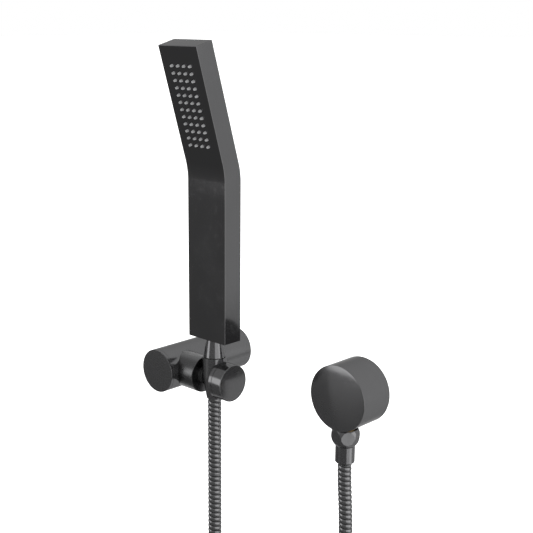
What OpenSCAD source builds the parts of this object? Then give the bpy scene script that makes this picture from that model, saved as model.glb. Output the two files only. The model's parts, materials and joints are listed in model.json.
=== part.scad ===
// Hand shower set: a bent bar handset in a tilting holder on a wall post,
// with its hose running to a round wall outlet.
// Millimetres. The origin is the centre of the post's wall face.
// +X runs along the wall to the outlet, +Y into the wall and +Z up.

/* [Handset] */
// Width of the handset across its spray face
handset_w = 48.6; // [42:0.1:60]
// Thickness of the handset, measured level
handset_d = 20.8; // [18:0.1:26]
// Height of the upright handle, from its bottom to the bend
handle_h = 160; // [130:1:200]
// Length of the head along its spray face
head_len = 118.8; // [110:0.1:150]
// Lean of the head towards the user
head_tilt = 17; // [8:1:22]
// Rise of the top face towards the wall
top_rise = 15; // [5:1:22]
// Radius of the bend, front and back
bend_r = 55; // [20:1:90]
// Wall of the handset's shell
shell_wall = 2.2; // [1.8:0.1:3]
// Thickness of the end cap at the top
cap_t = 2; // [1.5:0.1:3]

/* [Spray face] */
// Nozzles in one row
nozzle_cols = 4; // [2:1:5]
// Rows of nozzles
nozzle_rows = 12; // [4:1:12]
// Distance between columns
col_pitch = 7.7; // [6:0.1:8]
// Distance between rows
row_pitch = 6.8; // [5:0.1:7]
// Distance from the top edge to the first row
first_row = 18.2; // [16:0.1:26]
// Diameter of a nozzle at its root
nozzle_d = 3; // [2:0.1:3.6]
// How far the nozzles stand out of the face
nozzle_out = 2; // [1:0.1:3]

/* [Wall post] */
// Diameter of the post
post_d = 42.6; // [38:0.1:52]
// Length of the post, from the wall to its front face
post_len = 110.8; // [98:0.1:140]
// Wall of the post tube
post_wall = 2.5; // [2:0.1:3]
// Thickness of the post's front cap
post_cap_t = 3; // [2:0.1:5]
// Distance between the fixing screws
fixing_pitch = 22; // [18:1:24]
// Diameter of a fixing hole
fixing_d = 5.2; // [4:0.1:6]

/* [Holder] */
// Distance from the post's axis to the sleeve's axis
holder_x = 53.5; // [50:0.1:66]
// Distance from the wall to the sleeve's axis
holder_out = 84.7; // [70:0.1:90]
// Diameter of the collar, the holder's flange and the knob
barrel_d = 35.4; // [30:0.1:40]
// Outer diameter of the sleeve
sleeve_d = 23.2; // [22.4:0.1:26]
// Height of the sleeve above the tilt axis
sleeve_up = 21.6; // [18:0.1:28]
// Depth of the sleeve below the tilt axis
sleeve_down = 20; // [18:0.1:22]
// Play between the hose and the slot that lets it out
slot_play = 0.9; // [0.6:0.1:2]
// Diameter of the tilt pin
pin_d = 10; // [8:0.5:11]
// Length of the knob
knob_len = 12; // [10:0.1:18]

/* [Neck] */
// Height of the cone between sleeve and handset
neck_h = 17.8; // [14:0.1:24]
// Diameter of the cone at the handset
neck_top_d = 15.6; // [15.2:0.1:20]
// Diameter of the cone at the sleeve
neck_low_d = 20.6; // [18:0.1:23]

/* [Wall outlet] */
// Distance from the post's axis to the outlet's axis
outlet_x = 166.8; // [140:0.1:300]
// Height of the outlet's axis above the post's
outlet_z = -4; // [-12:0.1:20]
// Diameter of the outlet's cover
cover_d = 63.3; // [60:0.1:75]
// Depth of the cover at its rim
cover_depth = 38.6; // [37:0.1:46]
// Height of the dome on the cover's front
cover_dome = 2; // [1:0.1:4]
// Wall of the cover
cover_wall = 3; // [2:0.1:4]
// Distance from the wall to the hose connection
spigot_out = 24.4; // [21:0.1:25]
// Diameter of the ball nut
ball_d = 27.4; // [25:0.1:30]
// Distance across the ball nut's flats
ball_flats = 24.2; // [22:0.1:26]

/* [Hose] */
// Outer diameter of the hose
hose_d = 13.4; // [12:0.1:14]
// Turns in the stored coil
coil_turns = 2.5; // [1.5:1:3.5]

/* [Hidden] */

$fn = 96;
eps = 0.01;
seat_gap = 0.02;          // play between pieces fixed in each other
run_gap = 0.05;           // radial play of a pin that turns
face_gap = 0.3;           // space between faces that move past each other
black = [0.16, 0.16, 0.17];
brass = [0.78, 0.62, 0.33];
steel = [0.7, 0.7, 0.72];
rubber = [0.1, 0.1, 0.1];
plastic = [0.85, 0.85, 0.83];
silicone = [0.62, 0.62, 0.63];

post_r = post_d / 2;
barrel_r = barrel_d / 2;
cover_r = cover_d / 2;
hose_r = hose_d / 2;
holder_y = -holder_out;

// Wall post
plate_t = 6;
plate_r = post_r - post_wall - 0.2;
cap_spigot = 5;
grub_d = 5;
grub_y = -plate_t / 2;

// Collar, pivot and holder along the X axis
collar_x = holder_x - 13.5;
collar_root = sqrt(post_r * post_r - barrel_r * barrel_r) - 2;
bush_r = pin_d / 2 + 2;
pin_r = pin_d / 2;
washer_t = 0.5;
hub_r = 9;
pin_nut_t = 4;
pin_nut_r = pin_d / 2 + 3;
wave_t = 0.6;
bush_x = sqrt(pow(post_r - post_wall, 2) - pin_nut_r * pin_nut_r) + wave_t - 0.1;
pin_x = bush_x - wave_t - pin_nut_t;
flange_x = holder_x + 9.3;
flange_len = 3.4;
knob_x = flange_x + flange_len + 0.15;
stud_r = 3;
pad_x = holder_x + 8.4;
insert_r = 6;

// Sleeve, liner and hose nut about the sleeve's axis
sleeve_r = sleeve_d / 2;
sleeve_low_r = hose_r + 0.95;
slot_w = hose_d + slot_play;
liner_low = 6;
liner_t = 1;
bore_r = sleeve_r - 1.7;
low_bore_r = hose_r + 0.35;
nut_top_r = bore_r - liner_t - 0.35;
nut_step_r = nut_top_r - 0.35;
nut_low_r = 6.2;
nut_low = -9;
thread_r = 7;
spigot_len = 28;
washer_h = 2;
stem_r = 5;
ferrule_r = 6.2;
ferrule_low = -17;

// Handset
handset_z = sleeve_up + face_gap + neck_h;
chamber_low = 17;
chamber_top = head_len - 10;
mat_t = 1.6;
gasket_t = 0.8;
chamber_t = handset_d * cos(head_tilt) - 2 * shell_wall - mat_t - gasket_t - 2.1;
chamber_w = handset_w - 2 * shell_wall - 2.4;
tube_r = chamber_t / 2 - 0.9;
tube_bore_r = tube_r - 1.2;
tube_y = shell_wall + mat_t + gasket_t + chamber_t / 2;
inside_d = handset_d - 2 * shell_wall - 0.2;
stub_r = inside_d / 2 - 1.2;
stub_len = 14;
tube_socket = 6;

// Outlet
thread_core_r = 9.3;
inlet_depth = 14;
passage_r = 6.1;
elbow_r = 12.5;
elbow_len = 33;
nut_z = outlet_z - cover_r - 7.5;
nut_down = 9.9;
nut_up = 7.1;
spigot_low = nut_z - 4.25;
lip_z = nut_z - nut_down + 2.1;
ferrule2_r = 9.3;
ferrule2_low = -71.6;
gasket_w = 3.5;
gasket_back = 0.8;
cover_screw_y = -6;

// Hose: straight down from each end, then a round coil hung between the two stretches
upper_end_z = -22;
handset_leg = [[53.5, -84.7, -23.4], [53.5, -84.7, -60], [53.5, -84.7, -100], [53.5, -84.7, -140],
               [53.5, -84.7, -180], [53.5, -84.7, -220], [53.5, -84.7, -255], [53.5, -84.7, -286]];
outlet_leg = [[166.8, -24.4, -71.6], [166.8, -24.4, -80], [167.3, -24.4, -92], [168.2, -24.4, -105],
              [169.2, -24.4, -120], [170, -24.4, -140], [170.6, -24.4, -165], [171, -24.4, -195],
              [171, -24.4, -225], [171, -24.4, -255], [171, -24.4, -286]];
coil_a = handset_leg[len(handset_leg) - 1];
coil_b = outlet_leg[len(outlet_leg) - 1];
coil_mid = (coil_a + coil_b) / 2;
turn_pitch = hose_d + 0.2;
coil_rise = coil_turns * turn_pitch;
coil_gap = norm(coil_b - coil_a);
coil_d = sqrt(coil_gap * coil_gap - coil_rise * coil_rise);
coil_turn = atan2(coil_b[1] - coil_a[1], coil_b[0] - coil_a[0]) - asin(coil_rise / coil_gap);
coil_w = coil_rise + hose_d;
tie_t = 1.4;
tie_w = 12;

// ---- Shared shapes ----

// Where the line through p along u meets the line through q along v
function meet(p, u, q, v) = p + u * cross(q - p, v) / cross(u, v);

// Points of a bend of radius r that starts at p going up and leans to -y by a degrees
function bend(p, r, a, n) = [for (i = [0:n]) [p[0] - r + r * cos(a * i / n), p[1] + r * sin(a * i / n)]];

head_dir = [-sin(head_tilt), cos(head_tilt)];
head_in = [cos(head_tilt), sin(head_tilt)];
top_dir = [cos(top_rise), sin(top_rise)];
top_in = [sin(top_rise), -cos(top_rise)];
top_front = [-handset_d / 2, handle_h] + head_len * head_dir;

// Side outline of the handset, pulled in by t at front and back, by b at the bottom
// and by u at the top
function side_outline(t, b, u) =
    let (shift = t * tan(head_tilt / 2), tangent = bend_r * tan(head_tilt / 2),
         front = [-handset_d / 2 + t, handle_h + shift],
         back = [handset_d / 2 - t, handle_h - shift],
         top = top_front + u * top_in)
    concat([[front[0], b]],
           bend(front - [0, tangent], bend_r, head_tilt, 6),
           [meet(front, head_dir, top, top_dir), meet(back, head_dir, top, top_dir)],
           [for (p = [6:-1:0]) bend(back - [0, tangent], bend_r, head_tilt, 6)[p]],
           [[back[0], b]]);

// A slab of the handset's side outline, w wide, standing in its own place
module bar(w, t, b, u)
    translate([holder_x - w / 2, holder_y, handset_z])
        rotate([90, 0, 90])
            linear_extrude(w) polygon(side_outline(t, b, u));

// Moves its children to the sleeve's axis, at the height of the tilt axis
module at_sleeve() translate([holder_x, holder_y, 0]) children();

// Moves its children to the bottom centre of the handset
module at_handset() translate([holder_x, holder_y, handset_z]) children();

// Moves its children to the head: x across, y inwards from the spray face, z up the face
module in_head() at_handset() translate([0, -handset_d / 2, handle_h]) rotate([head_tilt, 0, 0]) children();

// Moves its children to each nozzle's place on the spray face
module each_nozzle()
    for (c = [0:nozzle_cols - 1], r = [0:nozzle_rows - 1])
        in_head()
            translate([(c - (nozzle_cols - 1) / 2) * col_pitch, 0, head_len - first_row - r * row_pitch])
                rotate([-90, 0, 0]) children();

// Moves its children to the tilt axis, with their z along +X from x
module on_tilt_axis(x) translate([x, holder_y, 0]) rotate([0, 90, 0]) children();

// Moves its children to the outlet, with their z along -Y from the wall
module at_outlet(out = 0) translate([outlet_x, -out, outlet_z]) rotate([90, 0, 0]) children();

// Moves its children to the outlet's hose connection
module at_spigot() translate([outlet_x, -spigot_out, 0]) children();

module ring(outer, inner, h) difference() {
    cylinder(r = outer, h = h);
    translate([0, 0, -1]) cylinder(r = inner, h = h + 2);
}

// The opening along the back of the sleeve
module hose_slot() translate([-slot_w / 2, 0, -sleeve_down - 1]) cube([slot_w, sleeve_r + 5, 60]);

// A tube of radius r swept along the points of a path
function along(path, i) = let (n = len(path) - 1)
    path[min(i + 1, n)] - path[max(i - 1, 0)];
function unit(v) = v / norm(v);
module tube(path, r, sides) {
    n = len(path);
    skin = [for (i = [0:n - 1]) let (w = unit(along(path, i)), u = unit(cross(w, [0, 1, 0.001])), v = cross(w, u))
        for (s = [0:sides - 1]) path[i] + r * (u * cos(360 * s / sides) + v * sin(360 * s / sides))];
    walls = [for (i = [0:n - 2], s = [0:sides - 1])
        [i * sides + s, i * sides + (s + 1) % sides, (i + 1) * sides + (s + 1) % sides, (i + 1) * sides + s]];
    ends = [[for (s = [sides - 1:-1:0]) s], [for (s = [0:sides - 1]) (n - 1) * sides + s]];
    polyhedron(skin, concat(walls, ends));
}

// ---- Wall post ----

module wall_plate() color(steel)
    difference() {
        rotate([90, 0, 0]) cylinder(r = plate_r, h = plate_t);
        for (s = [-1, 1]) translate([s * fixing_pitch / 2, 1, 0]) rotate([90, 0, 0]) {
            cylinder(d = fixing_d, h = plate_t + 2);
        }
        translate([0, grub_y, -post_r]) cylinder(d = grub_d - 1, h = post_wall + 3.5);
    }

module post_tube() color(black)
    difference() {
        rotate([90, 0, 0]) cylinder(r = post_r, h = post_len - post_cap_t);
        translate([0, 1, 0]) rotate([90, 0, 0]) cylinder(r = post_r - post_wall, h = post_len);
        on_tilt_axis(0) cylinder(r = bush_r + 0.1, h = post_r + 5);
        translate([0, grub_y, -post_r - 1]) cylinder(d = grub_d + 0.1, h = post_wall + 2);
    }

module post_cap() color(black)
    translate([0, -post_len, 0]) rotate([-90, 0, 0]) union() {
        rotate_extrude() polygon([[0, 0], [post_r - 0.6, 0], [post_r, 0.6], [post_r, post_cap_t], [0, post_cap_t]]);
        ring(post_r - post_wall - seat_gap, post_r - post_wall - 2, post_cap_t + cap_spigot);
    }

module post_grub_screw() color(steel)
    translate([0, grub_y, -post_r + 0.4]) difference() {
        cylinder(d = grub_d, h = post_wall - 0.4);
        translate([0, 0, -1]) cylinder(d = 2.4, h = 2.2, $fn = 6);
    }

// ---- Tilting pivot ----

module cross_collar() color(black)
    difference() {
        on_tilt_axis(0) rotate_extrude() polygon([
            [0, collar_root], [barrel_r, collar_root], [barrel_r, collar_x - 0.5],
            [barrel_r - 0.5, collar_x], [0, collar_x]]);
        translate([0, 1, 0]) rotate([90, 0, 0]) cylinder(r = post_r, h = post_len + 20);
        on_tilt_axis(0) cylinder(r = bush_r + seat_gap, h = collar_x + 1);
    }

module pivot_bush() color(plastic)
    on_tilt_axis(bush_x) ring(bush_r, pin_r + run_gap, collar_x - bush_x);

module friction_washer() color(rubber)
    on_tilt_axis(collar_x) ring(hub_r, pin_r + 0.2, washer_t);

module pivot_pin() color(steel)
    on_tilt_axis(pin_x) cylinder(r = pin_r, h = holder_x - bore_r - 0.3 - pin_x);

module wave_washer() color(steel)
    on_tilt_axis(bush_x - wave_t) ring(bush_r, pin_r + 0.2, wave_t);

module pin_nut() color(brass)
    on_tilt_axis(pin_x) difference() {
        cylinder(r = pin_nut_r, h = pin_nut_t, $fn = 6);
        translate([0, 0, -1]) cylinder(r = pin_r + seat_gap, h = pin_nut_t + 2);
    }

// ---- Holder ----

module sleeve_bore() rotate_extrude() polygon([
    [0, -sleeve_down - 1], [low_bore_r, -sleeve_down - 1], [low_bore_r, -13],
    [bore_r, liner_low], [bore_r, sleeve_up + 1], [0, sleeve_up + 1]]);

module holder_sleeve() color(black)
    difference() {
        union() {
            at_sleeve() rotate_extrude() polygon([
                [0, -sleeve_down], [sleeve_low_r, -sleeve_down], [sleeve_r - 2.7, -13], [sleeve_r - 1.9, -8.5],
                [sleeve_r - 1.2, -4], [sleeve_r - 0.4, 0], [sleeve_r, 4], [sleeve_r - 0.2, sleeve_up], [0, sleeve_up]]);
            on_tilt_axis(collar_x + washer_t) cylinder(r = hub_r, h = holder_x - collar_x - washer_t);
            on_tilt_axis(flange_x) cylinder(r = barrel_r, h = flange_len);
        }
        at_sleeve() sleeve_bore();
        at_sleeve() hose_slot();
        on_tilt_axis(collar_x) cylinder(r = pin_r + seat_gap, h = holder_x - collar_x);
        on_tilt_axis(holder_x) cylinder(r = stud_r + run_gap, h = 20);
    }

module sleeve_liner() color(plastic)
    at_sleeve() difference() {
        rotate_extrude() polygon([
            [nut_step_r + 0.15, liner_low], [bore_r - seat_gap, liner_low],
            [bore_r - seat_gap, sleeve_up], [nut_top_r + 0.15, sleeve_up]]);
        hose_slot();
    }

// ---- Knob ----

module knob() color(black)
    difference() {
        on_tilt_axis(knob_x) rotate_extrude() polygon([
            [0, 0], [barrel_r - 0.5, 0], [barrel_r, 0.5], [barrel_r, knob_len - 0.6],
            [barrel_r - 0.6, knob_len], [0, knob_len]]);
        on_tilt_axis(knob_x - 1) cylinder(r = insert_r + seat_gap, h = knob_len - 2);
    }

module knob_insert() color(brass)
    on_tilt_axis(knob_x) ring(insert_r, stud_r + seat_gap, knob_len - 3 - seat_gap);

module knob_stud() color(steel)
    on_tilt_axis(pad_x + 1) cylinder(r = stud_r, h = knob_x + knob_len - 4 - pad_x - 1);

module clamp_pad() color(plastic)
    on_tilt_axis(pad_x) cylinder(r = stud_r - 0.5, h = 1);

// ---- Hose end in the sleeve ----

module hose_nut() color(black)
    at_sleeve() difference() {
        rotate_extrude() polygon([
            [0, nut_low], [nut_low_r, nut_low], [nut_step_r, liner_low],
            [nut_top_r, sleeve_up], [nut_top_r, sleeve_up + face_gap], [0, sleeve_up + face_gap]]);
        translate([0, 0, handset_z - spigot_len - 2 * washer_h - seat_gap]) cylinder(r = thread_r + seat_gap, h = 60);
        translate([0, 0, nut_low - 1]) cylinder(r = stem_r + run_gap, h = 60);
    }

module neck_cone() color(black)
    at_sleeve() difference() {
        translate([0, 0, sleeve_up + face_gap]) cylinder(d1 = neck_low_d, d2 = neck_top_d, h = neck_h);
        cylinder(r = thread_r + seat_gap, h = 80);
    }

module nut_washer() color(rubber)
    at_handset() translate([0, 0, -spigot_len - washer_h]) ring(thread_r - 0.3, 4, washer_h);

module swivel_stem() color(brass)
    at_handset() translate([0, 0, -spigot_len - 2 * washer_h]) difference() {
        union() {
            translate([0, 0, run_gap]) cylinder(r = thread_r - 0.4, h = washer_h - 2 * run_gap);
            translate([0, 0, ferrule_low - handset_z + spigot_len + 2 * washer_h])
                cylinder(r = stem_r, h = handset_z - spigot_len - 2 * washer_h - ferrule_low + 1);
        }
        translate([0, 0, -60]) cylinder(r = 3.5, h = 80);
    }

module handset_ferrule() color(black)
    at_sleeve() translate([0, 0, ferrule_low]) ring(ferrule_r, stem_r + seat_gap, nut_low - 0.3 - ferrule_low);

// ---- Handset ----

module handset_shell() color(black)
    difference() {
        bar(handset_w, 0, 0, cap_t);
        bar(handset_w - 2 * shell_wall, shell_wall, shell_wall, -6);
        at_handset() translate([0, 0, -1]) cylinder(r = thread_r + 0.1, h = shell_wall + 2);
        each_nozzle() translate([0, 0, -1]) cylinder(d = nozzle_d + 0.3, h = shell_wall + 2, $fn = 24);
    }

module end_cap() color(black)
    union() {
        difference() {
            bar(handset_w, 0, 0, 0);
            bar(handset_w + 2, -1, -1, cap_t);
        }
        difference() {
            bar(handset_w - 2 * shell_wall - 0.1, shell_wall + 0.05, shell_wall, cap_t - eps);
            bar(handset_w + 2, -1, -1, cap_t + 3);
        }
    }

module inlet_spigot() color(brass)
    at_handset() difference() {
        union() {
            translate([0, 0, -spigot_len]) cylinder(r = thread_r, h = spigot_len + shell_wall + seat_gap);
            translate([0, 0, shell_wall + seat_gap]) intersection() {
                cylinder(r = thread_r + 3, h = 2);
                translate([-20, -inside_d / 2, 0]) cube([40, inside_d, 2]);
            }
            translate([0, 0, shell_wall + 1]) cylinder(r = stub_r, h = stub_len - shell_wall - 1);
        }
        translate([0, 0, -spigot_len - 1]) cylinder(r = min(4, tube_bore_r + 0.8), h = spigot_len + 20);
        translate([0, 0, tube_socket]) cylinder(r = tube_r + seat_gap, h = 20);
    }

module spigot_ring() color(rubber)
    at_handset() translate([0, 0, shell_wall + 2 + 2 * seat_gap]) ring(inside_d / 2, stub_r + seat_gap, 1.5);

// The tube's corner: where the handle's axis meets the line up to the spray chamber
tube_start = [-handset_d / 2, handle_h] + tube_y * head_in;
tube_corner = meet([0, 0], [0, 1], tube_start, head_dir);
tube_low = tube_socket + seat_gap;

module water_tube() color(plastic)
    at_handset() difference() {
        tube_run(tube_r, 0.4, 0);
        tube_run(tube_bore_r, 0.2, 1);
    }

// A straight run up the handle and one up the head, with a ball where they meet
module tube_run(r, ball_extra, past) {
    translate([0, 0, tube_low - past]) cylinder(r = r, h = tube_corner[1] - tube_low + past);
    translate([0, 0, tube_corner[1]]) {
        sphere(r = r + ball_extra);
        rotate([head_tilt, 0, 0])
            cylinder(r = r, h = norm(tube_start + chamber_low * head_dir - tube_corner) + 4 + past);
    }
}

module spray_chamber() color(plastic)
    in_head() difference() {
        translate([-chamber_w / 2, shell_wall + mat_t + gasket_t, chamber_low])
            cube([chamber_w, chamber_t, chamber_top - chamber_low]);
        translate([-chamber_w / 2 + 2, shell_wall + mat_t + gasket_t - 1, chamber_low + 6])
            cube([chamber_w - 4, chamber_t - 1, chamber_top - chamber_low - 8]);
        translate([0, tube_y, chamber_low - 1]) cylinder(r = tube_r + seat_gap, h = 5 + seat_gap);
        translate([0, tube_y, chamber_low]) cylinder(r = 2.5, h = 8);
    }

module chamber_gasket() color(rubber)
    in_head() difference() {
        translate([-chamber_w / 2, shell_wall + mat_t, chamber_low])
            cube([chamber_w, gasket_t, chamber_top - chamber_low]);
        translate([-chamber_w / 2 + 2, shell_wall + mat_t - 1, chamber_low + 6])
            cube([chamber_w - 4, gasket_t + 2, chamber_top - chamber_low - 8]);
    }

module nozzle_mat() color(silicone)
    difference() {
        union() {
            in_head() translate([-chamber_w / 2, shell_wall, chamber_low])
                cube([chamber_w, mat_t, chamber_top - chamber_low]);
            each_nozzle() translate([0, 0, -nozzle_out])
                cylinder(d1 = nozzle_d - 0.7, d2 = nozzle_d, h = shell_wall + nozzle_out + mat_t / 2, $fn = 24);
        }
        each_nozzle() translate([0, 0, -nozzle_out - 1]) cylinder(d = 1, h = 10, $fn = 16);
    }

// ---- Wall outlet ----

dome_r = (cover_r * cover_r + cover_dome * cover_dome) / (2 * cover_dome);

module outlet_cover() color(black)
    difference() {
        at_outlet() rotate_extrude() polygon(concat([[0, gasket_back], [cover_r, gasket_back]],
            [for (i = [0 : 11]) let (r = cover_r * (1 - i / 12))
                [r, cover_depth + cover_dome - dome_r + sqrt(dome_r * dome_r - r * r)]],
            [[0, cover_depth + cover_dome]]));
        at_outlet(-1) cylinder(r = cover_r - cover_wall, h = cover_depth - cover_wall + 1);
        at_spigot() translate([0, 0, -80]) cylinder(r = thread_core_r + 0.4, h = 80 + outlet_z);
        translate([outlet_x, cover_screw_y, outlet_z - cover_r - 1]) cylinder(d = 4.1, h = cover_wall + 3);
    }

module wall_gasket() color(rubber)
    at_outlet() ring(cover_r - 0.5, cover_r - 0.5 - gasket_w, gasket_back);

module outlet_elbow() color(brass)
    difference() {
        union() {
            at_outlet() cylinder(r = elbow_r, h = elbow_len);
            at_spigot() translate([0, 0, spigot_low]) cylinder(r = thread_core_r, h = outlet_z - spigot_low);
        }
        at_outlet(-1) cylinder(r = thread_core_r, h = inlet_depth + 1);
        at_outlet() cylinder(r = passage_r, h = elbow_len + 1);
        at_spigot() translate([0, 0, spigot_low - 1]) cylinder(r = passage_r, h = outlet_z - spigot_low + 1);
    }

module elbow_plug() color(brass)
    at_outlet(elbow_len - 3) cylinder(r = passage_r - seat_gap, h = 3);

module cover_screw() color(steel)
    translate([outlet_x, cover_screw_y, outlet_z - cover_r + 0.6]) difference() {
        cylinder(d = 4, h = cover_r - elbow_r - 0.6 - 0.1);
        translate([0, 0, -1]) cylinder(d = 2, h = 2.5, $fn = 6);
    }

// Check valve in the hose connection
cage_top = outlet_z - 20;
cage_low = spigot_low;
cage_r = passage_r - seat_gap;
seat_t = 2;
poppet_t = 1.6;
guide_t = 1.6;
spring_low = cage_low + guide_t;
spring_top = cage_top - seat_t - poppet_t - run_gap;

module valve_cage() color(plastic)
    at_spigot() difference() {
        translate([0, 0, cage_low]) cylinder(r = cage_r, h = cage_top - cage_low);
        translate([0, 0, cage_low + guide_t]) cylinder(r = cage_r - 1.1, h = cage_top - cage_low - guide_t - seat_t);
        translate([0, 0, cage_low - 1]) cylinder(r = 1.3, h = guide_t + 2);
        for (a = [45:90:315]) rotate([0, 0, a]) translate([3.1, 0, cage_low - 1]) cylinder(r = 1.1, h = guide_t + 2);
        translate([0, 0, cage_top - seat_t - 1]) cylinder(r = 3.2, h = seat_t + 2);
    }

module valve_poppet() color(plastic)
    at_spigot() union() {
        translate([0, 0, spring_top]) cylinder(r = cage_r - 1.7, h = poppet_t);
        translate([0, 0, cage_low + 0.2]) cylinder(r = 1.2, h = spring_top - cage_low);
    }

spring_r = 2.9;
spring_wire = 0.35;
spring_turns = 5;
module valve_spring() color(steel)
    at_spigot() tube([for (i = [0:60]) let (a = 360 * spring_turns * i / 60)
        [spring_r * cos(a), spring_r * sin(a),
         spring_low + spring_wire + 0.05 + (spring_top - spring_low - 2 * spring_wire - 0.1) * i / 60]], spring_wire, 6);

module ball_nut() color(black)
    at_spigot() translate([0, 0, nut_z]) difference() {
        intersection() {
            sphere(r = ball_d / 2);
            translate([0, 0, -nut_down]) rotate([0, 0, -10])
                cylinder(r = ball_flats / 2 / cos(30), h = nut_down + nut_up, $fn = 6);
        }
        translate([0, 0, lip_z - nut_z]) cylinder(r = thread_core_r + seat_gap, h = 20);
        translate([0, 0, -20]) cylinder(r = 7.1, h = 30);
    }

module outlet_washer() color(rubber)
    at_spigot() translate([0, 0, spigot_low - washer_h]) ring(thread_core_r - 0.3, passage_r - 1, washer_h);

module outlet_ferrule() color(black)
    at_spigot() difference() {
        rotate_extrude() polygon([
            [0, ferrule2_low], [hose_r + 0.2, ferrule2_low], [ferrule2_r, ferrule2_low + 2.2],
            [ferrule2_r, nut_z - nut_down - 0.2], [7, nut_z - nut_down - 0.2], [7, lip_z + 0.1],
            [thread_core_r - 0.3, lip_z + 0.1], [thread_core_r - 0.3, spigot_low - washer_h], [0, spigot_low - washer_h]]);
        translate([0, 0, ferrule2_low - 1]) cylinder(r = 3.5, h = 30);
    }

// ---- Hose ----

module hose_upper() color(black)
    tube([[holder_x, holder_y, upper_end_z], [holder_x, holder_y, ferrule_low]], hose_r, 12);

module hose_handset_leg() color(black) tube(handset_leg, hose_r, 12);

module hose_outlet_leg() color(black) tube(outlet_leg, hose_r, 12);

// Moves its children to the coil: x across it, y up and z along its axis
module at_coil() translate(coil_mid) rotate([90, 0, coil_turn]) children();

module hose_coil() color(black)
    at_coil() rotate_extrude() polygon([for (s = [[-1, -1], [1, -1], [1, 1], [-1, 1]], k = [0, 1])
        let (turned = s[0] * s[1] > 0 ? k : 1 - k)
        [coil_d / 2 + s[0] * (hose_r - (turned ? 3 : 0)), s[1] * (coil_w / 2 - (turned ? 0 : 3))]]);

module hose_tie() color(rubber)
    at_coil() translate([-tie_w / 2, -coil_d / 2, 0]) difference() {
        translate([0, -hose_r - tie_t - 0.4, -coil_w / 2 - tie_t])
            cube([tie_w, hose_d + 2 * tie_t + 0.8, coil_w + 2 * tie_t]);
        translate([-1, -hose_r - 0.4, -coil_w / 2]) cube([tie_w + 2, hose_d + 0.8, coil_w]);
    }

wall_plate();
post_tube();
post_cap();
post_grub_screw();
cross_collar();
pivot_bush();
friction_washer();
holder_sleeve();
sleeve_liner();
pivot_pin();
wave_washer();
pin_nut();
knob();
knob_insert();
knob_stud();
clamp_pad();
hose_nut();
neck_cone();
nut_washer();
swivel_stem();
handset_ferrule();
handset_shell();
end_cap();
inlet_spigot();
spigot_ring();
water_tube();
spray_chamber();
chamber_gasket();
nozzle_mat();
outlet_cover();
wall_gasket();
outlet_elbow();
cover_screw();
elbow_plug();
valve_cage();
valve_poppet();
valve_spring();
ball_nut();
outlet_washer();
outlet_ferrule();
hose_upper();
hose_handset_leg();
hose_outlet_leg();
hose_coil();
hose_tie();
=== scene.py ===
"""Gives a hand shower set its finished shapes and finishes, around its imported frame."""

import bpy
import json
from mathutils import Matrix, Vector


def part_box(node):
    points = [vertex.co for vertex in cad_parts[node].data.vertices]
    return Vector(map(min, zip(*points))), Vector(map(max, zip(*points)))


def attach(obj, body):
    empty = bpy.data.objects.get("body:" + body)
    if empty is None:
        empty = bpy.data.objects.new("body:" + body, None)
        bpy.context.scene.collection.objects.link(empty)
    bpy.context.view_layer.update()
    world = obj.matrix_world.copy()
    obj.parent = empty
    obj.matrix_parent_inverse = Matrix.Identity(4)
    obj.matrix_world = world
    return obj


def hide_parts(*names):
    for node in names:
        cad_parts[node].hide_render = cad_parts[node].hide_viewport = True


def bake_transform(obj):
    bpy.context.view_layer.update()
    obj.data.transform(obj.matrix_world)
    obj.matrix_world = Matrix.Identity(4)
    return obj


bl_info = {
    "name": "Hand Shower Set",
    "version": (1, 0, 0),
    "blender": (4, 5, 0),
    "location": "View3D > Sidebar > Shower",
    "description": "Bar handset, tilting holder, wall post, hose and wall outlet",
    "category": "Add Mesh",
}

import json
import math

import bmesh
import bpy
from bpy.props import FloatProperty, FloatVectorProperty, IntProperty, PointerProperty
from mathutils import Matrix, Vector

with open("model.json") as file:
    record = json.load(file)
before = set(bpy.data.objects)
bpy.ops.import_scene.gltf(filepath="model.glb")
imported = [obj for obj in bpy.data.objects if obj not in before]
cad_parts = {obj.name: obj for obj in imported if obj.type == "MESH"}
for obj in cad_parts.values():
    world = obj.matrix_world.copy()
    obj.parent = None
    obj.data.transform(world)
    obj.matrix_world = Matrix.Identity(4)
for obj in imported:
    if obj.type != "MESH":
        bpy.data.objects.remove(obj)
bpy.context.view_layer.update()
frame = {"nodes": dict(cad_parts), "record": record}
MM = 0.001

SHELL_LOW, SHELL_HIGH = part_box("handset_shell")
SLEEVE_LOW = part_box("holder_sleeve")[0]
KNOB_LOW, KNOB_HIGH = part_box("knob")
NECK_LOW, NECK_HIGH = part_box("neck_cone")
POST_LOW, POST_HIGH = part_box("post_tube")
DISC_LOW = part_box("post_cap")[0]
COLLAR_LOW, COLLAR_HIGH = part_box("cross_collar")
COVER_LOW, COVER_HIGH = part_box("outlet_cover")
BALL_LOW, BALL_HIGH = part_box("ball_nut")
FERRULE_LOW, FERRULE_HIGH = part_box("outlet_ferrule")

NECK_AXIS = (NECK_LOW + NECK_HIGH) / 2       # the sleeve's, handset's and hose's upright axis
TILT_AXIS = (KNOB_LOW + KNOB_HIGH) / 2       # on the cross axis through the knob
OUTLET_AXIS = (COVER_LOW + COVER_HIGH) / 2
BALL_AXIS = (BALL_LOW + BALL_HIGH) / 2

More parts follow.
